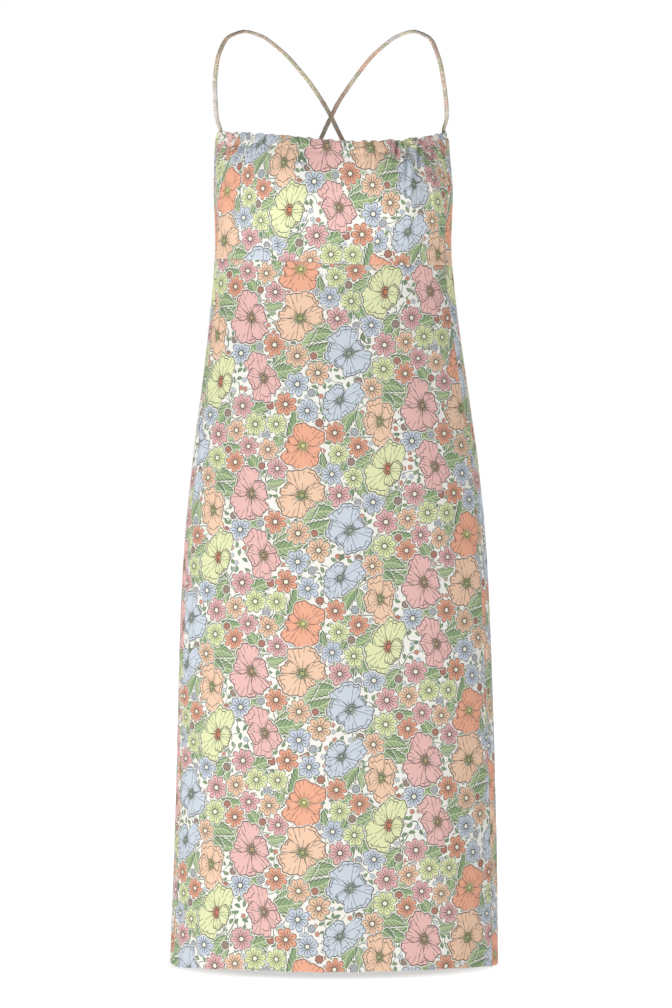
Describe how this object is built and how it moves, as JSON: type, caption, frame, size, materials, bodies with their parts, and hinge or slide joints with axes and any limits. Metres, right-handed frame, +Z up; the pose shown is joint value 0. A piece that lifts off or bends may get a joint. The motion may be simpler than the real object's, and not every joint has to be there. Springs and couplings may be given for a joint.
{
  "type": "slip dress",
  "caption": "Hollow, worn-form midi slip dress: gathered straight neckline, under-bust seam, low back, narrow straps that cross behind, A-line skirt in a pastel floral print",
  "frame": {"origin": "midway between the shoulder tops, at the undersides of the two straps, where the wearer's shoulders hold the dress up", "axes": "+Z is up, the front of the dress faces -Y, +X is to the viewer's right as the front is seen"},
  "size_m": [0.4131, 0.2762, 1.1732],
  "materials": {
    "printed_cloth": "light woven viscose with a pastel poppy, daisy and leaf print, matt",
    "strap_cloth": "the same printed cloth sewn into narrow rouleau tubes, matt"
  },
  "bodies": {
    "root": {"front_bodice": "printed_cloth", "back_bodice": "printed_cloth", "front_skirt": "printed_cloth", "back_skirt": "printed_cloth", "strap_left": "strap_cloth", "strap_right": "strap_cloth"}
  },
  "joints": []
}
